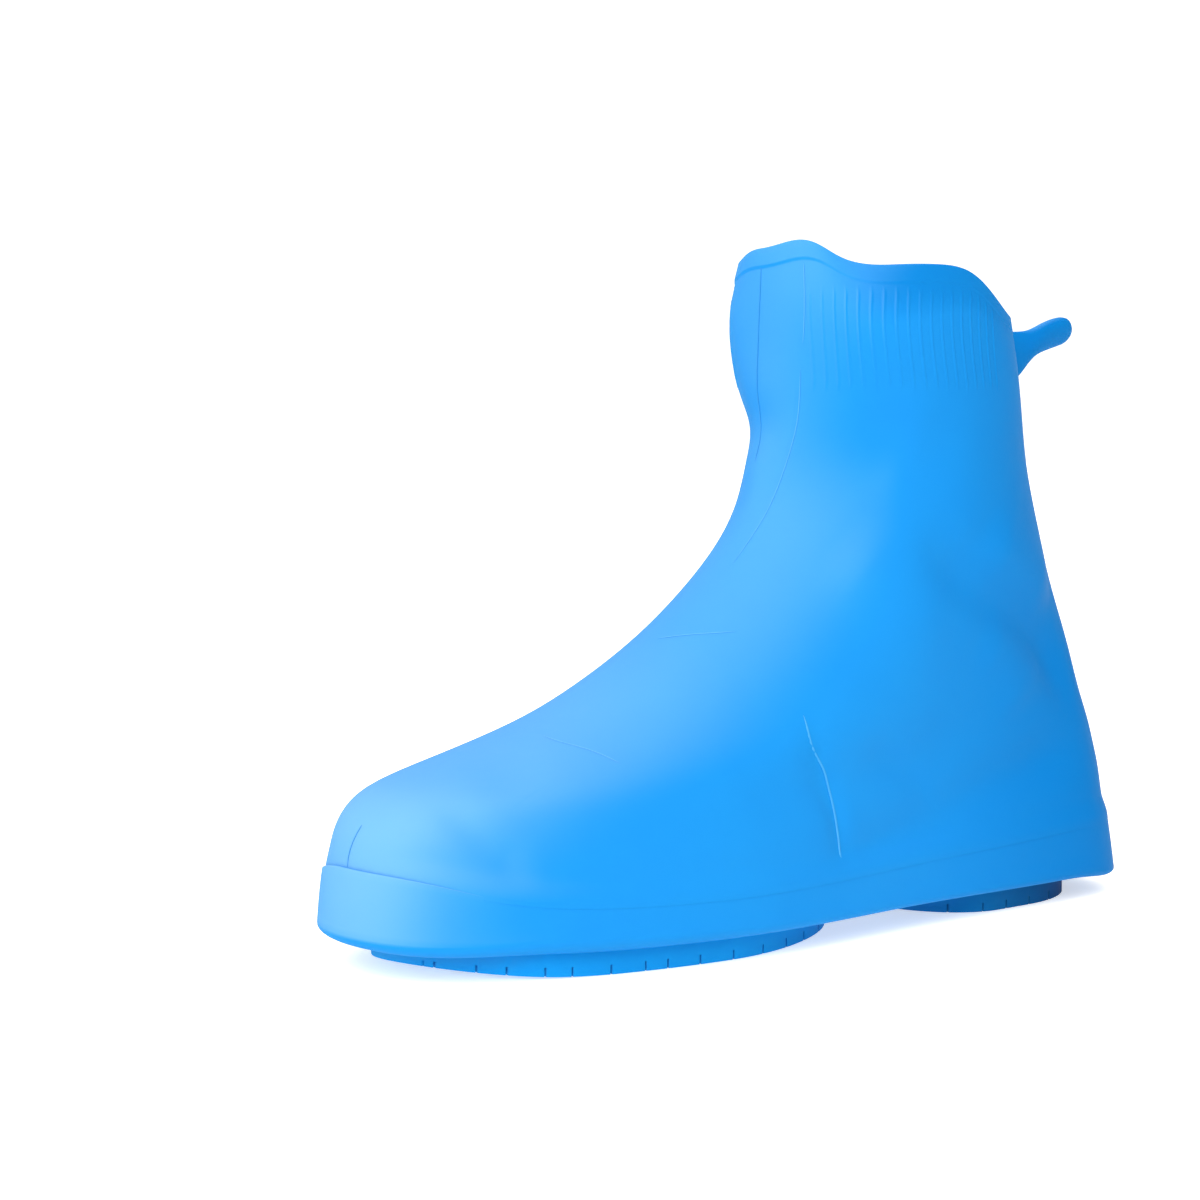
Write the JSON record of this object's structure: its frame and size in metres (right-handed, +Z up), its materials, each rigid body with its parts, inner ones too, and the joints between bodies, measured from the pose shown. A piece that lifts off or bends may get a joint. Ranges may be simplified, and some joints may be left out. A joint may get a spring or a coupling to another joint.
{
  "type": "overshoe",
  "caption": "Ankle-high rubber overshoe with a round closed toe, ribbed cuff, finger pull tab at the back and a cupped outsole with grooved tread pads.",
  "frame": {"origin": "on the floor, under the middle of the overshoe's box", "axes": "+Z up, the toe points along -X and the heel and its tab along +X"},
  "size_m": [0.3186, 0.118, 0.23],
  "materials": {
    "upper_rubber": "satin moulded natural rubber latex",
    "outsole_rubber": "satin moulded natural rubber latex"
  },
  "bodies": {
    "root": {"upper": "upper_rubber", "outsole": "outsole_rubber"}
  },
  "joints": []
}
